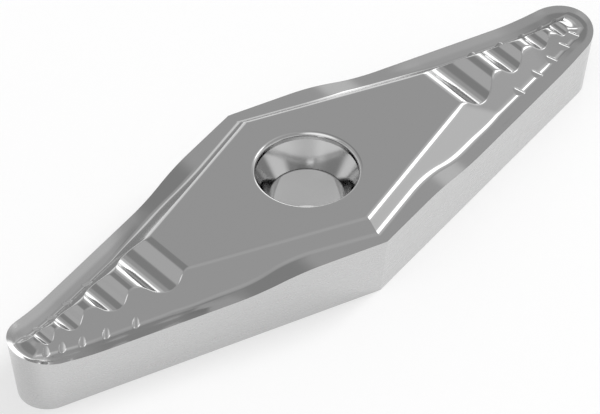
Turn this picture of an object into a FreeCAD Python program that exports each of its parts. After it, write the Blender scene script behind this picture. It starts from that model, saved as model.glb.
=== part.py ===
# Indexable carbide insert, double ended, with a pressed chip former.
#
# Frame: millimetres, +Z up. The origin is the centre of the seat face, on the
# axis of the screw hole. +X runs along the long diagonal to one nose, and +Y
# along the short diagonal. The insert is the same on both sides of the XZ and
# YZ planes, so one quarter is built and then mirrored twice.
#
# Two measures are used along a side of the rhombus: the offset is the distance
# from the hole's axis square to the side, and the run is the distance along
# the side, from the foot of that perpendicular towards the nose.
import FreeCAD, Part
import math
import os

os.makedirs("parts", exist_ok=True)
V = FreeCAD.Vector

# Outline
inscribed_circle = 12.7       # across the cutting edges, at the full thickness
point_angle = 27.0            # included angle at each nose, degrees
nose_radius = 2.1             # at the full thickness
relief_angle = 7.0            # lean of the ground flanks, degrees
thickness = 3.97              # seat face to cutting edge, at the obtuse corners

# Cutting edge, seen from the side; back means towards the hole from the nose's centre
edge_drop = 0.53              # how far the edge dips between corner and nose
edge_fall_back = 13.3         # upper bend of the dip, before it is rounded
edge_low_back = 10.7          # lower bend of the dip, before it is rounded
edge_fall_radius = 12.8       # rounds both bends
nose_rise_back = 1.2          # where the edge starts to climb to the nose
nose_rise_angle = 8.5         # degrees

# Groove behind the edge
rake_angle = 13.5             # fall of the rake face from the edge, degrees
groove_depth = 0.2            # floor below the low stretch of the edge
groove_back = 8.8             # where the floor leaves the level of the edge
groove_full_back = 7.2        # where it is at full depth
groove_run_out = 0.04         # carries the rake face past the flank

# Island and ladder
island_height = 0.67          # plateau above the full thickness
island_inset = 1.54           # plateau's corner from the edge's corner
island_taper = 19.0           # long sides of the plateau to the X axis, degrees
island_slope = 43.5           # long sides of the island, degrees
island_round = 0.45           # plateau edge along the long sides
rim_land = 0.55               # least width kept between the island and the rim
ladder_inset = 2.48           # top edge of the ladder's sides from the cutting edge
ladder_slope = 47.0           # sides and end of the ladder, degrees
ladder_droop_back = 6.2       # where the ladder's top starts to bend down
ladder_droop_radius = 37.0
ladder_foot_round = 0.4

# Scallops across the ladder, from the plateau to the nose
scallop_count = 4
scallop_back = 8.3            # where the first scallop starts
scallop_width = 2.85          # mouth of the first scallop
scallop_width_loss = 0.6      # each next one is narrower by this
scallop_slope = 43.0          # walls, degrees
scallop_radius = 1.5          # round of the first scallop's floor
scallop_radius_power = 2.5    # the round shrinks with this power of the width
crest_width = 0.5             # first crest left between two scallops
crest_width_ratio = 0.62      # each next crest is narrower by this ratio

# Pips that break the chip, on the foot of the ladder
pip_count = 4
pip_back = 4.7                # first pip, along the side from the nose's centre
pip_pitch = 1.75
pip_pitch_loss = 0.25         # each step is shorter by this
pip_radius = 0.24
pip_toe = 0.27                # a pip's low end, outside the ladder's foot
pip_head = 0.53               # its high end, inside the ladder's foot
pip_stand = 0.13              # how far it stands out of the ladder's foot
pip_nose_turn = 38.0          # last pip, round the nose from the X axis, degrees

# Screw hole
bore_diameter = 4.0
bore_height = 2.75            # where the bore opens into the screw seat
seat_diameter = 5.6           # top of the conical screw seat
lip_diameter = 6.06           # where the rounded lip meets the plateau

# Worked out from the sizes above
half_angle = math.radians(point_angle / 2.0)
sin_a = math.sin(half_angle)
cos_a = math.cos(half_angle)
relief = math.tan(math.radians(relief_angle))
rake = math.tan(math.radians(rake_angle))
taper = math.radians(island_taper)
island_fall = math.tan(math.radians(island_slope))
ladder_fall = math.tan(math.radians(ladder_slope))
scallop_fall = math.tan(math.radians(scallop_slope))
nose_rise = math.tan(math.radians(nose_rise_angle))
half_circle = inscribed_circle / 2.0
nose_offset = half_circle - nose_radius
nose_x = nose_offset / sin_a
nose_run = nose_offset * cos_a / sin_a
tip_x = nose_x + nose_radius
nose_rise_start = nose_x - nose_rise_back
edge_low = thickness - edge_drop
plateau = thickness + island_height
island_half_width = half_circle / cos_a - island_inset
groove_floor = edge_low - groove_depth
ladder_offset = half_circle - ladder_inset
ladder_foot = ladder_offset + (plateau - groove_floor) / ladder_fall
clear = 1.0                   # carries cuts clear of the body
above = plateau + clear
beyond = tip_x + clear
buried = groove_floor - 0.3   # foot of the raised parts, inside the blank


def quarter_wire(offset, z):
    """Outline of the quarter at height z: two mirror planes, side and nose."""
    radius = offset - nose_offset
    centre = V(0, 0, z)
    corner = V(0, offset / cos_a, z)
    tangent = V(nose_x + radius * sin_a, radius * cos_a, z)
    turn = math.pi / 4.0 - half_angle / 2.0
    middle = V(nose_x + radius * math.cos(turn), radius * math.sin(turn), z)
    tip = V(nose_x + radius, 0, z)
    return Part.Wire([
        Part.LineSegment(centre, tip).toShape(),
        Part.Arc(tip, middle, tangent).toShape(),
        Part.LineSegment(tangent, corner).toShape(),
        Part.LineSegment(corner, centre).toShape(),
    ])


def leaning_solid(offset, z, fall, below, over):
    """Quarter whose sides pass the offset at height z and lean out by fall."""
    lower = quarter_wire(offset - below / fall, z - below)
    upper = quarter_wire(offset + over / fall, z + over)
    return Part.makeLoft([lower, upper], True, True)


def rounded_path(points, radii):
    """Edges of a path in the XZ plane; radii round its inner points."""
    path = [V(x, 0, z) for x, z in points]
    edges = []
    start = path[0]
    for before, here, after, radius in zip(path, path[1:], path[2:], radii):
        if not radius:
            edges.append(Part.LineSegment(start, here).toShape())
            start = here
            continue
        back = (before - here).normalize()
        ahead = (after - here).normalize()
        half_turn = back.getAngle(ahead) / 2.0
        reach = radius / math.tan(half_turn)
        inward = (back + ahead).normalize()
        middle = here + inward * (radius / math.sin(half_turn) - radius)
        last = here + ahead * reach
        edges.append(Part.LineSegment(start, here + back * reach).toShape())
        edges.append(Part.Arc(here + back * reach, middle, last).toShape())
        start = last
    edges.append(Part.LineSegment(start, path[-1]).toShape())
    return edges


def region_above(points, radii):
    """Everything above a path in the XZ plane, as deep as the quarter."""
    first, last = points[0], points[-1]
    lid = [last, (last[0], above), (first[0], above), first]
    edges = rounded_path(points, radii) + rounded_path(lid, [0, 0])
    return Part.Face(Part.Wire(edges)).extrude(V(0, inscribed_circle, 0))


def climb_to_nose(shape):
    """Lifts what lies past the start of the nose's rise as the edge climbs."""
    box = Part.makeBox(nose_rise_start, inscribed_circle, 2.0 * above)
    flat = shape.common(box)
    lift = FreeCAD.Matrix()
    lift.A31 = nose_rise
    lift.A34 = -nose_rise * nose_rise_start
    return [flat, shape.cut(box).transformGeometry(lift)]


def region_climbing(points, radii):
    """Region above a path whose last stretch climbs to the nose."""
    level = points[-1][1]
    climb = nose_rise * (beyond - nose_rise_start)
    points = points + [(nose_rise_start, level), (beyond, level + climb)]
    return region_above(points, radii + [0])


def blank():
    """Pressed blank with ground flanks, topped by the line of the cutting edge."""
    body = leaning_solid(half_circle, thickness, 1.0 / relief, thickness, clear)
    points = [(-clear, thickness), (nose_x - edge_fall_back, thickness),
              (nose_x - edge_low_back, edge_low)]
    return body.cut(region_climbing(points, [edge_fall_radius, edge_fall_radius]))


def groove():
    """What is cleared behind the edge: a rake face that falls to a floor."""
    depth = 1.8 * groove_depth
    trough = leaning_solid(half_circle + groove_run_out, edge_low, rake, depth, groove_depth)
    points = [(nose_x - groove_back, edge_low), (nose_x - groove_full_back, groove_floor)]
    floor = region_climbing(points, [0])
    return [part.common(floor) for part in climb_to_nose(trough)]


def island():
    """Raised island with sloped long sides; its flat top is the plateau."""
    reach = (plateau - buried) / island_fall / math.cos(taper)
    end = 0.95 * island_half_width / math.tan(taper)

    def outline(half_width, z):
        side = half_width - end * math.tan(taper)
        points = [(0, 0), (end, 0), (end, side), (0, half_width), (0, 0)]
        return Part.makePolygon([V(x, y, z) for x, y in points])

    lower = outline(island_half_width + reach, buried)
    body = Part.makeLoft([lower, outline(island_half_width, plateau)], True, True)
    long_edges = [e for e in body.Edges if e.BoundBox.ZMin > plateau - 0.01
                  and min(e.BoundBox.XLength, e.BoundBox.YLength) > 0.01]
    core = leaning_solid(half_circle - rim_land, thickness, 1.0 / relief, thickness, clear)
    return body.makeFillet(island_round, long_edges).common(core)


def ladder_section():
    """Half section of the ladder with a rounded foot; X is the offset."""
    turn = math.radians(ladder_slope)
    reach = ladder_foot_round * math.tan(turn / 2.0)
    toe = V(ladder_foot + reach, 0, groove_floor)
    heel = V(ladder_foot - reach * math.cos(turn), 0, groove_floor + reach * math.sin(turn))
    centre = toe + V(0, 0, ladder_foot_round)
    middle = centre + V(-math.sin(turn / 2.0), 0, -math.cos(turn / 2.0)) * ladder_foot_round
    apex = V(nose_offset, 0, plateau - (nose_offset - ladder_offset) * ladder_fall)
    return toe, middle, heel, apex


def ladder():
    """Narrow ridge from the island to the nose, before the scallops are cut."""
    toe, middle, heel, apex = ladder_section()
    arc = Part.Arc(toe, middle, heel).toShape()
    low_toe = V(toe.x, 0, buried)

    def closed(points):
        lines = [Part.LineSegment(a, b).toShape() for a, b in zip(points, points[1:])]
        return Part.Face(Part.Wire(lines + [arc]))

    shoulder = V(ladder_offset, 0, plateau)
    side = closed([heel, shoulder, V(0, 0, plateau), V(0, 0, buried), low_toe, toe])
    side = side.extrude(V(0, nose_run, 0))
    side.translate(V(0, -nose_run, 0))
    side.rotate(V(0, 0, 0), V(0, 0, 1), 90.0 - point_angle / 2.0)
    nose = closed([heel, apex, V(nose_offset, 0, buried), low_toe, toe])
    nose.translate(V(-nose_offset, 0, 0))
    nose = nose.revolve(V(0, 0, 0), V(0, 0, 1), 90.0 - point_angle / 2.0)
    nose.translate(V(nose_x, 0, 0))
    box = Part.makeBox(beyond, half_circle, above)
    return climb_to_nose(side.common(box).fuse(nose))


def ladder_top(x):
    """Height of the ladder's top, which bends down towards the nose."""
    run = max(x - nose_x + ladder_droop_back, 0.0)
    return plateau - run ** 2 / (2.0 * ladder_droop_radius)


def scallops():
    """Start and end of each scallop's mouth, in order from the plateau."""
    start = nose_x - scallop_back
    for i in range(scallop_count):
        end = start + scallop_width - i * scallop_width_loss
        yield start, end
        start = end + crest_width * crest_width_ratio ** i


def above_ladder():
    """What is cleared above the ladder's top and out of the scallops."""
    deepen = 1.0 / math.cos(math.radians(scallop_slope)) - 1.0
    points = [(-clear, plateau)]
    radii = []
    for i, (start, end) in enumerate(scallops()):
        width = end - start
        tilt = (ladder_top(start) - ladder_top(end)) / (2.0 * scallop_fall)
        bottom = ladder_top(start) - (width / 2.0 + tilt) * scallop_fall
        middle = (start + end) / 2.0 + tilt
        floor_radius = scallop_radius * (width / scallop_width) ** scallop_radius_power
        crest_radius = crest_width * crest_width_ratio ** i
        points += [(start, ladder_top(start)), (middle, bottom), (end, ladder_top(end))]
        radii += [crest_radius, floor_radius, crest_radius]
    points.append((beyond, ladder_top(beyond)))
    return region_above(points, radii)


def pip():
    """One rib down the ladder's foot, at the middle of the side."""
    rise = pip_head * ladder_fall
    sunk = pip_radius - pip_stand
    low = V(ladder_foot + pip_toe, 0, groove_floor - sunk)
    high = V(ladder_foot - pip_head, 0, groove_floor + rise - sunk)
    axis = high - low
    rib = Part.makeCylinder(pip_radius, axis.Length, low, axis)
    return rib.fuse([Part.makeSphere(pip_radius, low), Part.makeSphere(pip_radius, high)])


def lifted(shape):
    """Raises a small shape by the climb of the edge where it stands."""
    climb = (shape.BoundBox.Center.x - nose_rise_start) * nose_rise
    shape.translate(V(0, 0, max(climb, 0.0)))
    return shape


def pips():
    """A row of pips along the side, and one more round the nose."""
    placed = []
    run = nose_run - pip_back
    for i in range(pip_count):
        rib = pip()
        rib.translate(V(0, -run, 0))
        rib.rotate(V(0, 0, 0), V(0, 0, 1), 90.0 - point_angle / 2.0)
        placed.append(lifted(rib))
        run += pip_pitch - i * pip_pitch_loss
    rib = pip()
    rib.translate(V(-nose_offset, 0, 0))
    rib.rotate(V(0, 0, 0), V(0, 0, 1), pip_nose_turn)
    rib.translate(V(nose_x, 0, 0))
    return placed + [lifted(rib)]


def screw_hole():
    """Through bore, conical screw seat and rounded lip."""
    bore = bore_diameter / 2.0
    seat = seat_diameter / 2.0
    lip = lip_diameter / 2.0
    drop = lip - seat
    shift = drop * (1.0 - math.sqrt(0.5))
    middle = V(seat + shift, 0, plateau - shift)
    corners = [V(seat, 0, plateau - drop), V(bore, 0, bore_height), V(bore, 0, -clear),
               V(0, 0, -clear), V(0, 0, above), V(lip, 0, above), V(lip, 0, plateau)]
    edges = [Part.LineSegment(a, b).toShape() for a, b in zip(corners, corners[1:])]
    edges.append(Part.Arc(corners[-1], middle, corners[0]).toShape())
    return Part.Face(Part.Wire(edges)).revolve(V(0, 0, 0), V(0, 0, 1), 360)


def quarter():
    body = blank().cut(groove())
    raised = island().fuse(ladder() + pips()).cut(above_ladder())
    return body.fuse(raised).common(Part.makeBox(beyond, half_circle + clear, above))


def whole():
    """Mirrors the quarter twice and drills the screw hole."""
    body = quarter()
    body = body.fuse(body.mirror(V(0, 0, 0), V(0, 1, 0)))
    body = body.fuse(body.mirror(V(0, 0, 0), V(1, 0, 0))).removeSplitter()
    return body.cut(screw_hole())


insert_body = whole()
insert_body.exportStep("parts/insert_body.step")
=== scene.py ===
# %% [markdown]
# # A double-ended carbide turning insert
# The object is one small block of cemented carbide, 40.6 mm long. A press forms
# its top side with all the chip-forming detail, a furnace sinters it, and a
# grinding wheel gives the flanks their 7 degrees of relief. This script dresses
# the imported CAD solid: it draws the form again as a much finer mesh, with rounds
# that the solid leaves out, gives it polished carbide, and lights it like a studio
# shot.

# %% The frame
import bpy
import math
import numpy as np
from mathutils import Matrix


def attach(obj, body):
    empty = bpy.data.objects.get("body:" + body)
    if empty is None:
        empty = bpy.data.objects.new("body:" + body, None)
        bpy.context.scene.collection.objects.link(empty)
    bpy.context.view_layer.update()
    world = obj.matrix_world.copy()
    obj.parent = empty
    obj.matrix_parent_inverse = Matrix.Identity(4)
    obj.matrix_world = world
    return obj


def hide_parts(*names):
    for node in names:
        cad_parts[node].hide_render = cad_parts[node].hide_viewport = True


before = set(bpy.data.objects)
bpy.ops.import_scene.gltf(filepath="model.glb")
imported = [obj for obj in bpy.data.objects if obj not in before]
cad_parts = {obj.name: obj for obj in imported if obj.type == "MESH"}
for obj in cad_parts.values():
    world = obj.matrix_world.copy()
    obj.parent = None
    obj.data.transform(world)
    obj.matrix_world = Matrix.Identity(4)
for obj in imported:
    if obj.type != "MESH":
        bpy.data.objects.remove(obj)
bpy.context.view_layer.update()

# %% [markdown]
# Carbide is a grey metal, so nearly all that is seen on it is its surroundings.
# That makes the camera the first thing to settle: it is a long lens, 0.35 m away
# and 44 degrees above the floor, so the insert shows hardly any perspective.
# The Standard view keeps the greys as the light gives them.

# %% The camera
camera_azimuth = math.radians(-40.989)
camera_elevation = math.radians(43.789)
camera_place = (-0.16702, -0.19163, 0.24548)
focal_length = 390.35
camera_data = bpy.data.cameras.new("camera")
camera_data.sensor_width = 36.0
camera_data.lens = focal_length
camera_data.clip_end = 10.0
camera = bpy.data.objects.new("camera", camera_data)
camera.location = camera_place
camera.rotation_euler = (math.pi / 2 - camera_elevation, 0.0, camera_azimuth)
bpy.context.scene.collection.objects.link(camera)
bpy.context.scene.camera = camera
bpy.context.scene.view_settings.view_transform = "Standard"
print("camera distance in m:", round(camera.location.length, 3))

# %% [markdown]
# All sizes are in millimetres, and those of the blank are the CAD solid's own. An
# insert is named by the circle that fits inside its cutting edges, here 12.7 mm
# across. The thickness is taken at the blunt corners.

# %% Sizes of the blank
half_circle = 6.35
half_angle = math.radians(13.5)
sin_a, cos_a = math.sin(half_angle), math.cos(half_angle)
nose_radius = 2.1
relief = math.tan(math.radians(7.0))
thickness = 3.97
nose_offset = half_circle - nose_radius
nose_x = nose_offset / sin_a
nose_run = nose_x * cos_a
print("nose centre at x =", round(nose_x, 3), "mm")

# %% [markdown]
# Every form on the top is a slope, and every meeting of two slopes is rounded,
# because a press tool has no sharp corners. So the top is written as a height for
# each point, and two slopes are joined by a soft maximum (a filled valley) or a
# soft minimum (a rounded ridge). The blend is the height over which they mix.


# %% Rounded meetings of slopes
def soft_max(a, b, blend):
    """Higher of two heights, with the valley where they meet filled."""
    mix = np.clip(0.5 + 0.5 * (a - b) / blend, 0.0, 1.0)
    return b + (a - b) * mix + blend * mix * (1.0 - mix)


def soft_min(a, b, blend):
    """Lower of two heights, with the ridge where they meet rounded."""
    return -soft_max(-a, -b, blend)


def blend_for(radius, degrees):
    """Blend that gives a fillet of this radius between level and a slope."""
    turn = math.radians(degrees)
    return radius * math.tan(turn / 2) * math.tan(turn)


print("a 0.5 mm round at 45 degrees needs a blend of", round(blend_for(0.5, 45.0), 3))

# %% [markdown]
# Seen from the side the cutting edge is a long S: high at the blunt corners, half
# a millimetre lower along the noses, and climbing again at 8.5 degrees to each
# tip. Only the grinding wheel makes this edge, where flank and top meet.

# %% The cutting edge
edge_drop = 0.53
edge_low = thickness - edge_drop
fall_start = nose_x - 13.3
fall_end = nose_x - 10.7
rise_start = nose_x - 1.2
rise = math.tan(math.radians(8.5))
rise_bend = 1.1  # half length of the bend where the rise starts


def climb(x):
    """Straight climb to the nose that starts with a gentle bend."""
    run = np.clip(x - rise_start + rise_bend, 0.0, 2.0 * rise_bend)
    return rise * (run**2 / (4.0 * rise_bend) + np.maximum(x - rise_start - rise_bend, 0.0))


def edge_height(x):
    """Height of the cutting edge above the seat face."""
    fall = edge_drop / (fall_end - fall_start)
    blend = edge_drop / 2.0
    sloped = thickness - (x - fall_start) * fall
    high = soft_min(np.full_like(x, thickness), sloped, blend)
    return soft_max(high, np.full_like(x, edge_low), blend) + climb(x)


def offset(x, y):
    """Distance of the parallel outline through a point from the hole's axis."""
    side = x * sin_a + y * cos_a
    nose = nose_offset + np.hypot(x - nose_x, y)
    return np.where(x * cos_a - y * sin_a > nose_run, nose, side)


def edge_offset(x):
    """Offset of the cutting edge; it lies further in where it is lower."""
    return half_circle - (thickness - edge_height(x)) * relief


for x in (0.0, 6.2, 12.0, 20.0):
    print("edge height at x =", x, "is", round(float(edge_height(np.array([x]))[0]), 3))

# %% [markdown]
# Behind the edge the rake face falls inwards at 13.5 degrees for half a
# millimetre, and then runs more gently to the foot of the ladder. This groove
# fades in where the low stretch of the edge begins. Round the nose, which does the
# cutting, the rake face is narrower and steeper.

# %% The rake face and the groove
rake = math.tan(math.radians(13.5))
groove_fall = math.tan(math.radians(7.3))
rake_width = 0.515
rake_blend = 0.012
nose_rake = math.tan(math.radians(20.0))
nose_rake_width = 0.36
nose_rake_blend = 0.03
groove_fade = (nose_x - 10.2, nose_x - 6.9)
round_nose = (nose_x - 0.2, nose_x + 0.9)


def ease(x, start, end):
    """Smooth step from 0 to 1."""
    part = np.clip((x - start) / (end - start), 0.0, 1.0)
    return part * part * (3.0 - 2.0 * part)


def groove_depth(x, y):
    """How far the groove lies below the cutting edge's height."""
    inward = edge_offset(x) - offset(x, y)
    floor = rake_width * rake + (inward - rake_width) * groove_fall
    side = soft_min(inward * rake, floor, rake_blend)
    floor = nose_rake_width * nose_rake + (inward - nose_rake_width) * groove_fall
    nose = soft_min(inward * nose_rake, floor, nose_rake_blend)
    return ease(x, *groove_fade) * (side + (nose - side) * ease(x, *round_nose))


# %% [markdown]
# The island in the middle is a hexagon with sloped sides. Its flat top, the
# plateau, is the highest face. At both ends it narrows to the ladder, a roof
# whose sides run parallel to the cutting edges. It ends in a shallow cone that
# slopes down to the nose.

# %% The island and the ladder
plateau = thickness + 0.67
island_half_width = half_circle / cos_a - 1.54
taper = math.radians(19.0)
island_degrees = 43.5
island_fall = math.tan(math.radians(island_degrees))
ladder_offset = half_circle - 2.48
ladder_fall = math.tan(math.radians(47.0))
droop_start = nose_x - 6.2
droop_radius = 37.0
ramp_start = 0.5  # past the nose's centre
ramp_fall = math.tan(math.radians(23.0))


def island_side(x, y):
    """Slope of the island's long side."""
    out = x * math.sin(taper) + (y - island_half_width) * math.cos(taper)
    return plateau - out * island_fall


def ladder_side(x, y):
    """Slope of the ladder's side, which climbs with the edge."""
    return plateau - (x * sin_a + y * cos_a - ladder_offset) * ladder_fall + climb(x)


def ladder_top(x):
    """Height of the crests, which droop towards the nose."""
    return plateau - np.maximum(x - droop_start, 0.0) ** 2 / (2.0 * droop_radius)


def ramp(x, y):
    """End of the ladder: part of a flat cone round the nose's centre."""
    reach = np.where(x > nose_x, np.hypot(x - nose_x, y), x - nose_x)
    return float(ladder_top(nose_x + ramp_start)) - (reach - ramp_start) * ramp_fall


print("ladder above the low edge at the nose's centre:",
      round(float(ladder_top(nose_x)) - edge_low, 3))

# %% [markdown]
# Four scallops cross each ladder, each narrower than the one before. A ball-nosed
# cutter makes them in the press tool, with walls of 38 degrees, a round floor and
# a round rim. What is left between them are crests, the rungs that curl the chip.

# %% The scallops
scallop_degrees = 38.5
scallop_slope = math.radians(scallop_degrees)
scallop_fall = math.tan(scallop_slope)
scallops = (  # start and end from the nose's centre, floor radius, rim radius
    (-8.17, -5.67, 1.45, 1.15),
    (-5.03, -2.97, 1.1, 0.8),
    (-2.36, -0.75, 0.75, 0.6),
    (-0.45, 0.6, 0.45, 0.3),
)


def scallop(x, start, end, radius):
    """Height of one scallop's surface; radius rounds its floor."""
    high, low = float(ladder_top(start)), float(ladder_top(end))
    tilt = (high - low) / (2.0 * scallop_fall)
    corner = high - ((end - start) / 2.0 + tilt) * scallop_fall
    away = np.abs(x - (start + end) / 2.0 - tilt)
    reach = radius * math.sin(scallop_slope)
    floor = corner + radius * (1.0 / math.cos(scallop_slope) - 1.0)
    round_part = radius - np.sqrt(radius**2 - np.minimum(away, reach) ** 2)
    return floor + round_part + np.maximum(away - reach, 0.0) * scallop_fall


def top_line(x):
    """Plateau, ladder top and scallops, as seen from the side."""
    line = ladder_top(x)
    for start, end, floor_radius, rim_radius in scallops:
        walls = scallop(x, nose_x + start, nose_x + end, floor_radius)
        line = soft_min(line, walls, blend_for(rim_radius, scallop_degrees))
    return line


for start, end, _, _ in scallops:
    middle = nose_x + (start + end) / 2.0
    print("scallop floor at x =", round(middle, 2), "is", round(float(top_line(middle)), 3))

# %% [markdown]
# Five small pips stand on the foot of each ladder side and break the chip. Each
# is a short rib, round on top, that comes out of the slope, runs a little aslant
# towards the nose and ends round on the floor of the groove. Here "out" is
# measured square to the side of the insert and "run" along it.

# %% The pips
pip_runs = (12.95, 14.7, 16.1, 17.28, 18.22)
pip_head, pip_toe, pip_lean = 4.8, 5.3, 0.5
pip_head_height, pip_fall, pip_head_fall = 3.62, 0.56, 2.0
pip_radius, pip_end_radius = 0.2, 0.2


def pips(x, y):
    """Height of the pips' tops; well below the insert between them."""
    out, run = x * sin_a + y * cos_a, x * cos_a - y * sin_a
    crest = pip_head_height - (out - pip_head) * pip_fall
    crest -= np.maximum(out - pip_toe, 0.0) ** 2 / (2.0 * pip_end_radius)
    crest -= np.maximum(pip_head - out, 0.0) * pip_head_fall
    aslant = run - (out - pip_toe) * pip_lean
    aside = np.min([np.abs(aslant - centre) for centre in pip_runs], axis=0)
    return crest - aside**2 / (2.0 * pip_radius) + climb(x)


print("pips on each side:", len(pip_runs))

# %% [markdown]
# Now the whole top: the lower surface is the edge's own height less the groove,
# and the raised forms are blended on to it with the fillet of the press tool.

# %% The whole top
crease_blend = 0.02  # hairline rounds, for meetings that look sharp
ramp_blend = 0.07
island_round, foot_round, nose_foot_round = 0.55, 0.62, 0.25
ladder_blend, crest_blend = 0.05, 0.12
island_to_ladder = (nose_x - 9.4, nose_x - 8.4)
foot_at_nose = (nose_x + 0.2, nose_x + 1.0)
near_crest = (-0.15, 0.0)  # depth below the ladder's top


def top_height(x, y):
    """Height of the insert's top side above the seat face."""
    low = edge_height(x) - groove_depth(x, y)
    sides = soft_max(island_side(x, y), ladder_side(x, y), crease_blend)
    past_island = ease(x, *island_to_ladder)
    line = top_line(x)
    on_crest = ease(line - ladder_top(x), *near_crest)
    on_ladder = ladder_blend + crest_blend * on_crest
    on_island = blend_for(island_round, island_degrees)
    raised = soft_min(sides, line, on_island * (1.0 - past_island) + on_ladder * past_island)
    raised = soft_min(raised, ramp(x, y), ramp_blend)
    foot = foot_round + nose_foot_round * ease(x, *foot_at_nose)
    surface = soft_max(low, raised, blend_for(foot, island_degrees))
    return soft_max(surface, pips(x, y), crease_blend)


print("height of the plateau:", round(float(top_height(np.array([4.0]), np.array([0.0]))[0]), 3))

# %% [markdown]
# The mesh covers one quarter in columns of constant x, so that they run along
# the scallops, from the cutting edge to the screw hole or the middle line. Rows
# are close together near the edge. The quarter is then mirrored twice.

# %% Columns and rows
lip_radius, seat_radius, bore_radius = 3.03, 2.8, 2.0
bore_height = 2.75
ladder_start = nose_x - 8.6


def edge_point(angle):
    """X of the cutting edge at this angle round the nose."""
    x = nose_x + nose_radius * math.cos(angle)
    for _ in range(8):
        x = nose_x + float(edge_offset(np.array([x]))[0] - nose_offset) * math.cos(angle)
    return x


hole_angles = np.radians(np.linspace(0.0, 90.0, 25))
nose_angles = np.linspace(math.pi / 2 - half_angle, 0.0, 37)
tangent_x = edge_point(nose_angles[0])
columns = np.concatenate([
    lip_radius * np.sin(hole_angles),
    np.linspace(lip_radius, ladder_start, 52)[1:],
    np.linspace(ladder_start, tangent_x, 210)[1:],
    [edge_point(a) for a in nose_angles[1:]],
])
edge_radius = edge_offset(columns) - nose_offset
edge_y = (edge_offset(columns) - columns * sin_a) / cos_a
round_y = np.sqrt(np.maximum(edge_radius**2 - (columns - nose_x) ** 2, 0.0))
edge_y = np.where(columns > tangent_x, round_y, edge_y)
inner_y = np.sqrt(np.maximum(lip_radius**2 - columns**2, 0.0))
print("columns:", len(columns), "tip at x =", round(float(columns[-1]), 3))

# %% [markdown]
# Each column runs from the edge over the ridge to the hole or the middle line. A
# station is the far end of a stretch with its number of rows. The normals come
# from the slope of the height, measured over a thousandth of a millimetre each
# way, and not from the faces.

# %% The top's points and normals
brow = island_half_width - columns * math.tan(taper)
shoulder = (ladder_offset - columns * sin_a) / cos_a
ridge_y = np.clip(np.maximum(brow, shoulder), inner_y + 0.3, None)
ridge_y = np.minimum(ridge_y, inner_y + 0.9 * (edge_y - inner_y))
stations = [(edge_y, 0), (ridge_y + 0.1 * (edge_y - ridge_y), 44),
            (ridge_y - 0.5 * (ridge_y - inner_y), 16), (inner_y, 8)]
rows = [edge_y[:, None]]
for (start, _), (end, count) in zip(stations, stations[1:]):
    part = np.linspace(0.0, 1.0, count + 1)[1:]
    rows.append(start[:, None] + (end - start)[:, None] * part[None, :])
grid_y = np.concatenate(rows, axis=1)
grid_x = np.repeat(columns[:, None], grid_y.shape[1], axis=1)
grid_z = top_height(grid_x, grid_y)
step = 0.001
slope_x = (top_height(grid_x + step, grid_y) - top_height(grid_x - step, grid_y)) / (2 * step)
slope_y = (top_height(grid_x, grid_y + step) - top_height(grid_x, grid_y - step)) / (2 * step)
top_normals = np.stack([-slope_x, -slope_y, np.ones_like(slope_x)], axis=-1)
top_points = np.stack([grid_x, grid_y, grid_z], axis=-1)
print("points on a quarter of the top:", top_points.shape[0] * top_points.shape[1])

# %% [markdown]
# The flanks are ruled from the cutting edge to the seat face. Each patch keeps its
# own normals, which leaves the ground edges sharp.

# %% The flanks
low_offset = half_circle - thickness * relief
low_radius = low_offset - nose_offset
low_tangent = nose_x + low_radius * sin_a
on_side = columns <= tangent_x
side_x = columns * low_tangent / tangent_x
angle = np.arctan2(edge_y, columns - nose_x)
low_x = np.where(on_side, side_x, nose_x + low_radius * np.cos(angle))
low_y = np.where(on_side, (low_offset - side_x * sin_a) / cos_a, low_radius * np.sin(angle))
low_points = np.stack([low_x, low_y, np.zeros_like(low_x)], axis=-1)
rim_points = top_points[:, 0]
facing = np.where(on_side, math.pi / 2 - half_angle, angle)
flank_normal = np.stack([np.cos(facing), np.sin(facing), np.full_like(facing, -relief)], axis=-1)
flank_points = np.stack([rim_points, low_points], axis=1)
flank_normals = np.stack([flank_normal, flank_normal], axis=1)
print("radius of the nose at the seat face:", round(low_radius, 3))

# %% [markdown]
# The screw hole is a turned profile: a rounded lip, a short collar, a conical seat
# for the screw's head, a rounded brink and a straight bore.


# %% The screw hole
def ring(radius, z, out, up):
    """Quarter ring of the hole's wall, with the normal's two components."""
    across, along = np.sin(hole_angles), np.cos(hole_angles)
    flat = np.ones_like(across)
    points = np.stack([radius * across, radius * along, z * flat], axis=-1)
    normals = np.stack([out * across, out * along, up * flat], axis=-1)
    return points, normals


def turned(profile):
    """Patch of the hole's wall from the rows of its profile."""
    rings = [ring(*row) for row in profile]
    return np.stack([r[0] for r in rings]), np.stack([r[1] for r in rings])


lip_drop = lip_radius - seat_radius
collar_height = 0.2
collar_top = plateau - lip_drop
seat_top = collar_top - collar_height
seat_lean = math.atan2(seat_radius - bore_radius, seat_top - bore_height)
wall = (-math.cos(seat_lean), math.sin(seat_lean))
turns = np.radians(np.linspace(0.0, 90.0, 10))
lip = turned([(lip_radius - lip_drop * math.sin(a), collar_top + lip_drop * math.cos(a),
               -math.sin(a), math.cos(a)) for a in turns])
collar = turned([(seat_radius, collar_top, -1, 0), (seat_radius, seat_top, -1, 0)])
brink_radius = 0.3
brink_out = brink_radius * (1.0 - math.cos(seat_lean))
brink_top = bore_height + brink_out / math.tan(seat_lean)
brink_low = brink_top - brink_radius * math.sin(seat_lean)
seat = turned([(seat_radius, seat_top, *wall), (bore_radius + brink_out, brink_top, *wall)])
brink = turned([(bore_radius + brink_radius * (1.0 - math.cos(a)),
                 brink_low + brink_radius * math.sin(a),
                 -math.cos(a), math.sin(a)) for a in np.linspace(seat_lean, 0.0, 6)])
bore = turned([(bore_radius, brink_low, -1, 0), (bore_radius, 0, -1, 0)])
print("screw seat's included angle:", round(2 * math.degrees(seat_lean), 1))

# %% [markdown]
# The seat face is the flat underside. Its columns lead from the foot of the flank
# to the bore or the middle line, and share their ends with the other patches.

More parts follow.
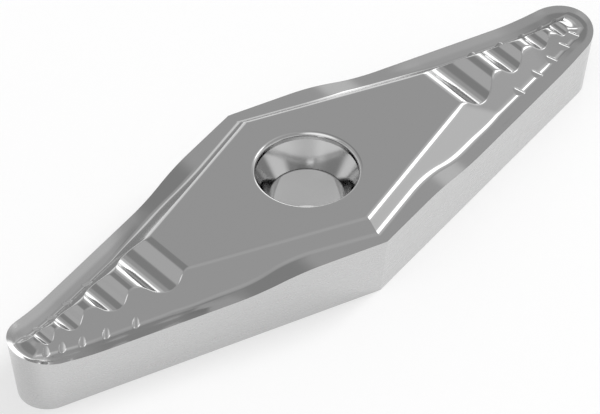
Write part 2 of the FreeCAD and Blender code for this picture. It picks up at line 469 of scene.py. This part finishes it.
# %% The seat face
beyond_hole = np.clip((columns - lip_radius) / (columns[-1] - lip_radius), 0.0, 1.0)
axis_x = bore_radius + beyond_hole * (low_x[-1] - bore_radius)
in_hole = columns <= lip_radius
inner_x = np.where(in_hole, columns * bore_radius / lip_radius, axis_x)
inner = np.stack([inner_x, inner_y * bore_radius / lip_radius, np.zeros_like(columns)], axis=-1)
base_points = np.stack([low_points, inner], axis=1)
base_normals = np.broadcast_to(np.array([0.0, 0.0, -1.0]), base_points.shape)
print("points on a quarter of the seat face:", base_points.shape[0] * base_points.shape[1])

# %% [markdown]
# The patches become triangles of one mesh. Those that shrink to a line at the tip
# are left out. The corners' normals are set from the formulas, so a fillet
# only a few faces wide still shades like a curve.


# %% From patches to one mesh
def patch_triangles(points, normals):
    """Corner positions and corner normals of a patch's triangles."""
    corners, shading = [], []
    for a, b, c in (((0, 0), (1, 0), (1, 1)), ((0, 0), (1, 1), (0, 1))):
        rows, cols = points.shape[0] - 1, points.shape[1] - 1
        pick = [(slice(i, i + rows), slice(j, j + cols)) for i, j in (a, b, c)]
        corners.append(np.stack([points[p].reshape(-1, 3) for p in pick], axis=1))
        shading.append(np.stack([normals[p].reshape(-1, 3) for p in pick], axis=1))
    corners, shading = np.concatenate(corners), np.concatenate(shading)
    cross = np.cross(corners[:, 1] - corners[:, 0], corners[:, 2] - corners[:, 0])
    inside_out = np.einsum("ij,ij->i", cross, shading.sum(axis=1)) < 0
    corners[inside_out] = corners[inside_out][:, ::-1]
    shading[inside_out] = shading[inside_out][:, ::-1]
    return corners, shading


pressed, ground = 0, 1
patches = [
    (top_points, top_normals, pressed),
    (*lip, pressed),
    (*collar, pressed),
    (*seat, pressed),
    (*brink, pressed),
    (*bore, pressed),
    (flank_points, flank_normals, ground),
    (base_points, base_normals, ground),
]
corners, shading, finishes = [], [], []
for points, normals, finish in patches:
    triangles, corner_normals = patch_triangles(points, normals)
    corners.append(triangles)
    shading.append(corner_normals)
    finishes.append(np.full(len(triangles), finish))
corners, shading = np.concatenate(corners), np.concatenate(shading)
finishes = np.concatenate(finishes)
for mirror in ((-1, 1, 1), (1, -1, 1)):
    corners = np.concatenate([corners, (corners * mirror)[:, ::-1]])
    shading = np.concatenate([shading, (shading * mirror)[:, ::-1]])
    finishes = np.concatenate([finishes, finishes])
vertices, used = np.unique(np.round(corners.reshape(-1, 3), 6), axis=0, return_inverse=True)
faces = used.reshape(-1, 3)
after = np.roll(faces, -1, axis=1)
whole = np.all(faces != after, axis=1)
faces, shading, finishes = faces[whole], shading[whole], finishes[whole]
shading /= np.linalg.norm(shading, axis=-1, keepdims=True)

mesh = bpy.data.meshes.new("insert")
mesh.from_pydata((vertices / 1000.0).tolist(), [], faces.tolist())
mesh.polygons.foreach_set("material_index", finishes.astype(np.int32))
mesh.polygons.foreach_set("use_smooth", np.ones(len(faces), dtype=bool))
mesh.normals_split_custom_set(shading.reshape(-1, 3).tolist())
mesh.update()
insert = bpy.data.objects.new("insert", mesh)
bpy.context.scene.collection.objects.link(insert)
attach(insert, "root")
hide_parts("insert_body")
print("insert:", len(vertices), "points and", len(faces), "triangles")

# %% [markdown]
# Cemented carbide is tungsten carbide grains of about a thousandth of a
# millimetre in a little cobalt. Polished, it is a neutral light grey metal. The
# colour is written as sRGB hex and one function turns it to linear.


# %% Helpers for materials
def linear(hex_colour):
    """Linear colour with alpha from sRGB hex."""
    channels = [int(hex_colour[i:i + 2], 16) / 255.0 for i in (1, 3, 5)]
    curve = [c / 12.92 if c <= 0.04045 else ((c + 0.055) / 1.055) ** 2.4 for c in channels]
    return (*curve, 1.0)


def add_node(tree, kind, links=None, **settings):
    """Adds a node; settings are its properties or input sockets, links feed its sockets."""
    node = tree.nodes.new(kind)
    for name, value in settings.items():
        if hasattr(node, name):
            setattr(node, name, value)
        else:
            node.inputs[name.replace("_", " ")].default_value = value
    for socket, source in (links or {}).items():
        tree.links.new(source, node.inputs[socket])
    return node


def new_material(name):
    """Material with an empty node tree, and the tree."""
    material = bpy.data.materials.new(name)
    material.use_nodes = True
    material.node_tree.nodes.clear()
    return material, material.node_tree


carbide_grey = linear("#CCCCCC")
print("carbide grey in linear light:", round(carbide_grey[0], 3))

# %% [markdown]
# The top keeps the skin of the press tool, polished after sintering. Its grain is
# too fine to see, so it is drawn as a faint mottle of 0.12 mm in the roughness
# and an even fainter one in the bump.

# %% Pressed and polished carbide
millimetre = 0.001
top_finish, tree = new_material("cemented carbide, pressed and polished")
place = add_node(tree, "ShaderNodeTexCoord")
grain = add_node(tree, "ShaderNodeTexNoise", {"Vector": place.outputs["Object"]},
                 Scale=1.0 / (0.12 * millimetre), Detail=3.0, Roughness=0.6)
gloss = add_node(tree, "ShaderNodeMapRange", {"Value": grain.outputs["Fac"]},
                 From_Min=0.3, From_Max=0.7, To_Min=0.1, To_Max=0.13)
bump = add_node(tree, "ShaderNodeBump", {"Height": grain.outputs["Fac"]},
                Strength=0.02, Distance=0.01 * millimetre)
shader = add_node(tree, "ShaderNodeBsdfPrincipled",
                  {"Roughness": gloss.outputs["Result"], "Normal": bump.outputs["Normal"]},
                  Base_Color=carbide_grey, Metallic=1.0)
add_node(tree, "ShaderNodeOutputMaterial", {"Surface": shader.outputs["BSDF"]})
print("material:", top_finish.name)

# %% [markdown]
# The flanks and the seat face are cut by a fine diamond wheel. It leaves level
# scratches along the flank, here 0.05 mm high and very long, a little rougher
# than the polished top.

# %% Ground carbide
ground_finish, tree = new_material("cemented carbide, fine ground")
place = add_node(tree, "ShaderNodeTexCoord")
stretch = add_node(tree, "ShaderNodeMapping", {"Vector": place.outputs["Object"]},
                   Scale=(0.03, 0.03, 1.0))
scratches = add_node(tree, "ShaderNodeTexNoise", {"Vector": stretch.outputs["Vector"]},
                     Scale=1.0 / (0.05 * millimetre), Detail=2.0, Roughness=0.5)
gloss = add_node(tree, "ShaderNodeMapRange", {"Value": scratches.outputs["Fac"]},
                 From_Min=0.3, From_Max=0.7, To_Min=0.26, To_Max=0.3)
bump = add_node(tree, "ShaderNodeBump", {"Height": scratches.outputs["Fac"]},
                Strength=0.004, Distance=0.02 * millimetre)
shader = add_node(tree, "ShaderNodeBsdfPrincipled",
                  {"Roughness": gloss.outputs["Result"], "Normal": bump.outputs["Normal"]},
                  Base_Color=carbide_grey, Metallic=1.0)
add_node(tree, "ShaderNodeOutputMaterial", {"Surface": shader.outputs["BSDF"]})
mesh.materials.append(top_finish)
mesh.materials.append(ground_finish)
print("material:", ground_finish.name)

# %% [markdown]
# The floor is a large pale sheet, and it is what the flanks mirror. The eye and
# the metal see half of it as plain white, as when such a photograph is
# printed on white paper; the rest is lit paper, which keeps the insert's shadow.

# %% Floor
floor_mesh = bpy.data.meshes.new("floor")
half, level = 1.5, -2e-5
floor_mesh.from_pydata([(-half, -half, level), (half, -half, level), (half, half, level),
                        (-half, half, level)], [], [(0, 1, 2, 3)])
floor = bpy.data.objects.new("floor", floor_mesh)
bpy.context.scene.collection.objects.link(floor)
white_share = 0.5
paper, tree = new_material("matt white paper")
shader = add_node(tree, "ShaderNodeBsdfPrincipled", Base_Color=linear("#FAFAFA"), Roughness=0.9)
bright = add_node(tree, "ShaderNodeEmission", Color=(1, 1, 1, 1), Strength=1.0)
rays = add_node(tree, "ShaderNodeLightPath")
looked_at = add_node(tree, "ShaderNodeMath",
                     {0: rays.outputs["Is Camera Ray"], 1: rays.outputs["Is Glossy Ray"]},
                     operation="MAXIMUM")
share = add_node(tree, "ShaderNodeMath", {0: looked_at.outputs["Value"]}, operation="MULTIPLY")
share.inputs[1].default_value = white_share
sheet = add_node(tree, "ShaderNodeMixShader",
                 {0: share.outputs["Value"], 1: shader.outputs["BSDF"],
                  2: bright.outputs["Emission"]})
add_node(tree, "ShaderNodeOutputMaterial", {"Surface": sheet.outputs["Shader"]})
floor_mesh.materials.append(paper)
print("floor:", 2 * half, "m square")

# %% [markdown]
# The room is a grey studio with a pale backdrop round the horizon. Polished metal
# shows whatever stands round it, so the photographer shapes the reflections with
# cards. A dark flag gives the scallops their dark bands and a pale card the light
# ones. White cards draw the bright lines along the rims and fillets that face
# them. The sizes are angles as the insert sees them, so a card needs no distance:
# it is even out to its inner angle and fades to nothing at the outer one.

# %% The room
world = bpy.data.worlds.new("studio")
bpy.context.scene.world = world
world.use_nodes = True
tree = world.node_tree
tree.nodes.clear()
room_grey = 0.475
direction = add_node(tree, "ShaderNodeTexCoord").outputs["Generated"]


def towards(azimuth, elevation):
    """Unit vector; azimuth from +X to +Y, elevation from the floor, in degrees."""
    a, e = math.radians(azimuth), math.radians(elevation)
    return (math.cos(e) * math.cos(a), math.cos(e) * math.sin(a), math.sin(e))


def patch(aim, edge_value, full_value, change):
    """Grey that is added as the direction turns towards the aim."""
    lined_up = add_node(tree, "ShaderNodeVectorMath", {0: direction}, operation="DOT_PRODUCT")
    lined_up.inputs[1].default_value = aim
    soft = add_node(tree, "ShaderNodeMapRange", {"Value": lined_up.outputs["Value"]},
                    interpolation_type="SMOOTHSTEP", From_Min=edge_value,
                    From_Max=full_value, To_Min=0.0, To_Max=change)
    return soft.outputs["Result"]


def card(azimuth, elevation, inner, outer, change):
    """Round card in the room that adds this much grey, or takes it away."""
    return patch(towards(azimuth, elevation), math.cos(math.radians(outer)),
                 math.cos(math.radians(inner)), change)


backdrop = patch((0.0, 0.0, -1.0), -0.3, -0.2, 0.4)
greys = [
    backdrop,
    card(78, 56, 12, 20, -0.155),
    card(126, 46, 11, 18, 0.115),
    card(2, 47, 10, 27, 0.2),
    card(-14, 25, 8, 24, 0.3),
    card(35, 4, 12, 20, 1.3),
    card(38, 28, 2, 7, 0.25),
    card(-8, 42, 8, 13, 1.6),
    card(-25, 72, 6, 18, 0.07),
    card(-162, 46, 15, 36, 0.9),
]
total = None
for grey in greys:
    plus = add_node(tree, "ShaderNodeMath", {0: grey}, operation="ADD")
    if total is None:
        plus.inputs[1].default_value = room_grey
    else:
        tree.links.new(total, plus.inputs[1])
    total = plus.outputs["Value"]
room = add_node(tree, "ShaderNodeBackground", {"Color": total}, Strength=1.0)
white = add_node(tree, "ShaderNodeBackground", Color=(1, 1, 1, 1), Strength=1.0)
rays = add_node(tree, "ShaderNodeLightPath")
seen = add_node(tree, "ShaderNodeMixShader",
                {0: rays.outputs["Is Camera Ray"], 1: room.outputs["Background"],
                 2: white.outputs["Background"]})
add_node(tree, "ShaderNodeOutputWorld", {"Surface": seen.outputs["Shader"]})
print("cards in the room:", len(greys) - 1)

# %% [markdown]
# One softbox on the right lights the floor and gives the insert its soft shadow.
# It is hidden from reflections, where a white card of the room stands in the same
# place: the card is dimmer and has a soft edge, which keeps the bright lines even.


# %% Lamps
def softbox(name, azimuth, elevation, distance, width, height, power):
    """Rectangular lamp that faces the insert, not seen in reflections."""
    lamp = bpy.data.lights.new(name, "AREA")
    lamp.shape = "RECTANGLE"
    lamp.size, lamp.size_y = width, height
    lamp.energy = power
    holder = bpy.data.objects.new(name, lamp)
    holder.location = [distance * part for part in towards(azimuth, elevation)]
    holder.rotation_euler = (math.pi / 2 - math.radians(elevation), 0.0,
                             math.radians(azimuth) + math.pi / 2)
    holder.visible_glossy = False
    bpy.context.scene.collection.objects.link(holder)
    print(name, "at", [round(v, 2) for v in holder.location])


softbox("key softbox", -8.0, 42.0, 1.0, 0.4, 0.42, 5.0)
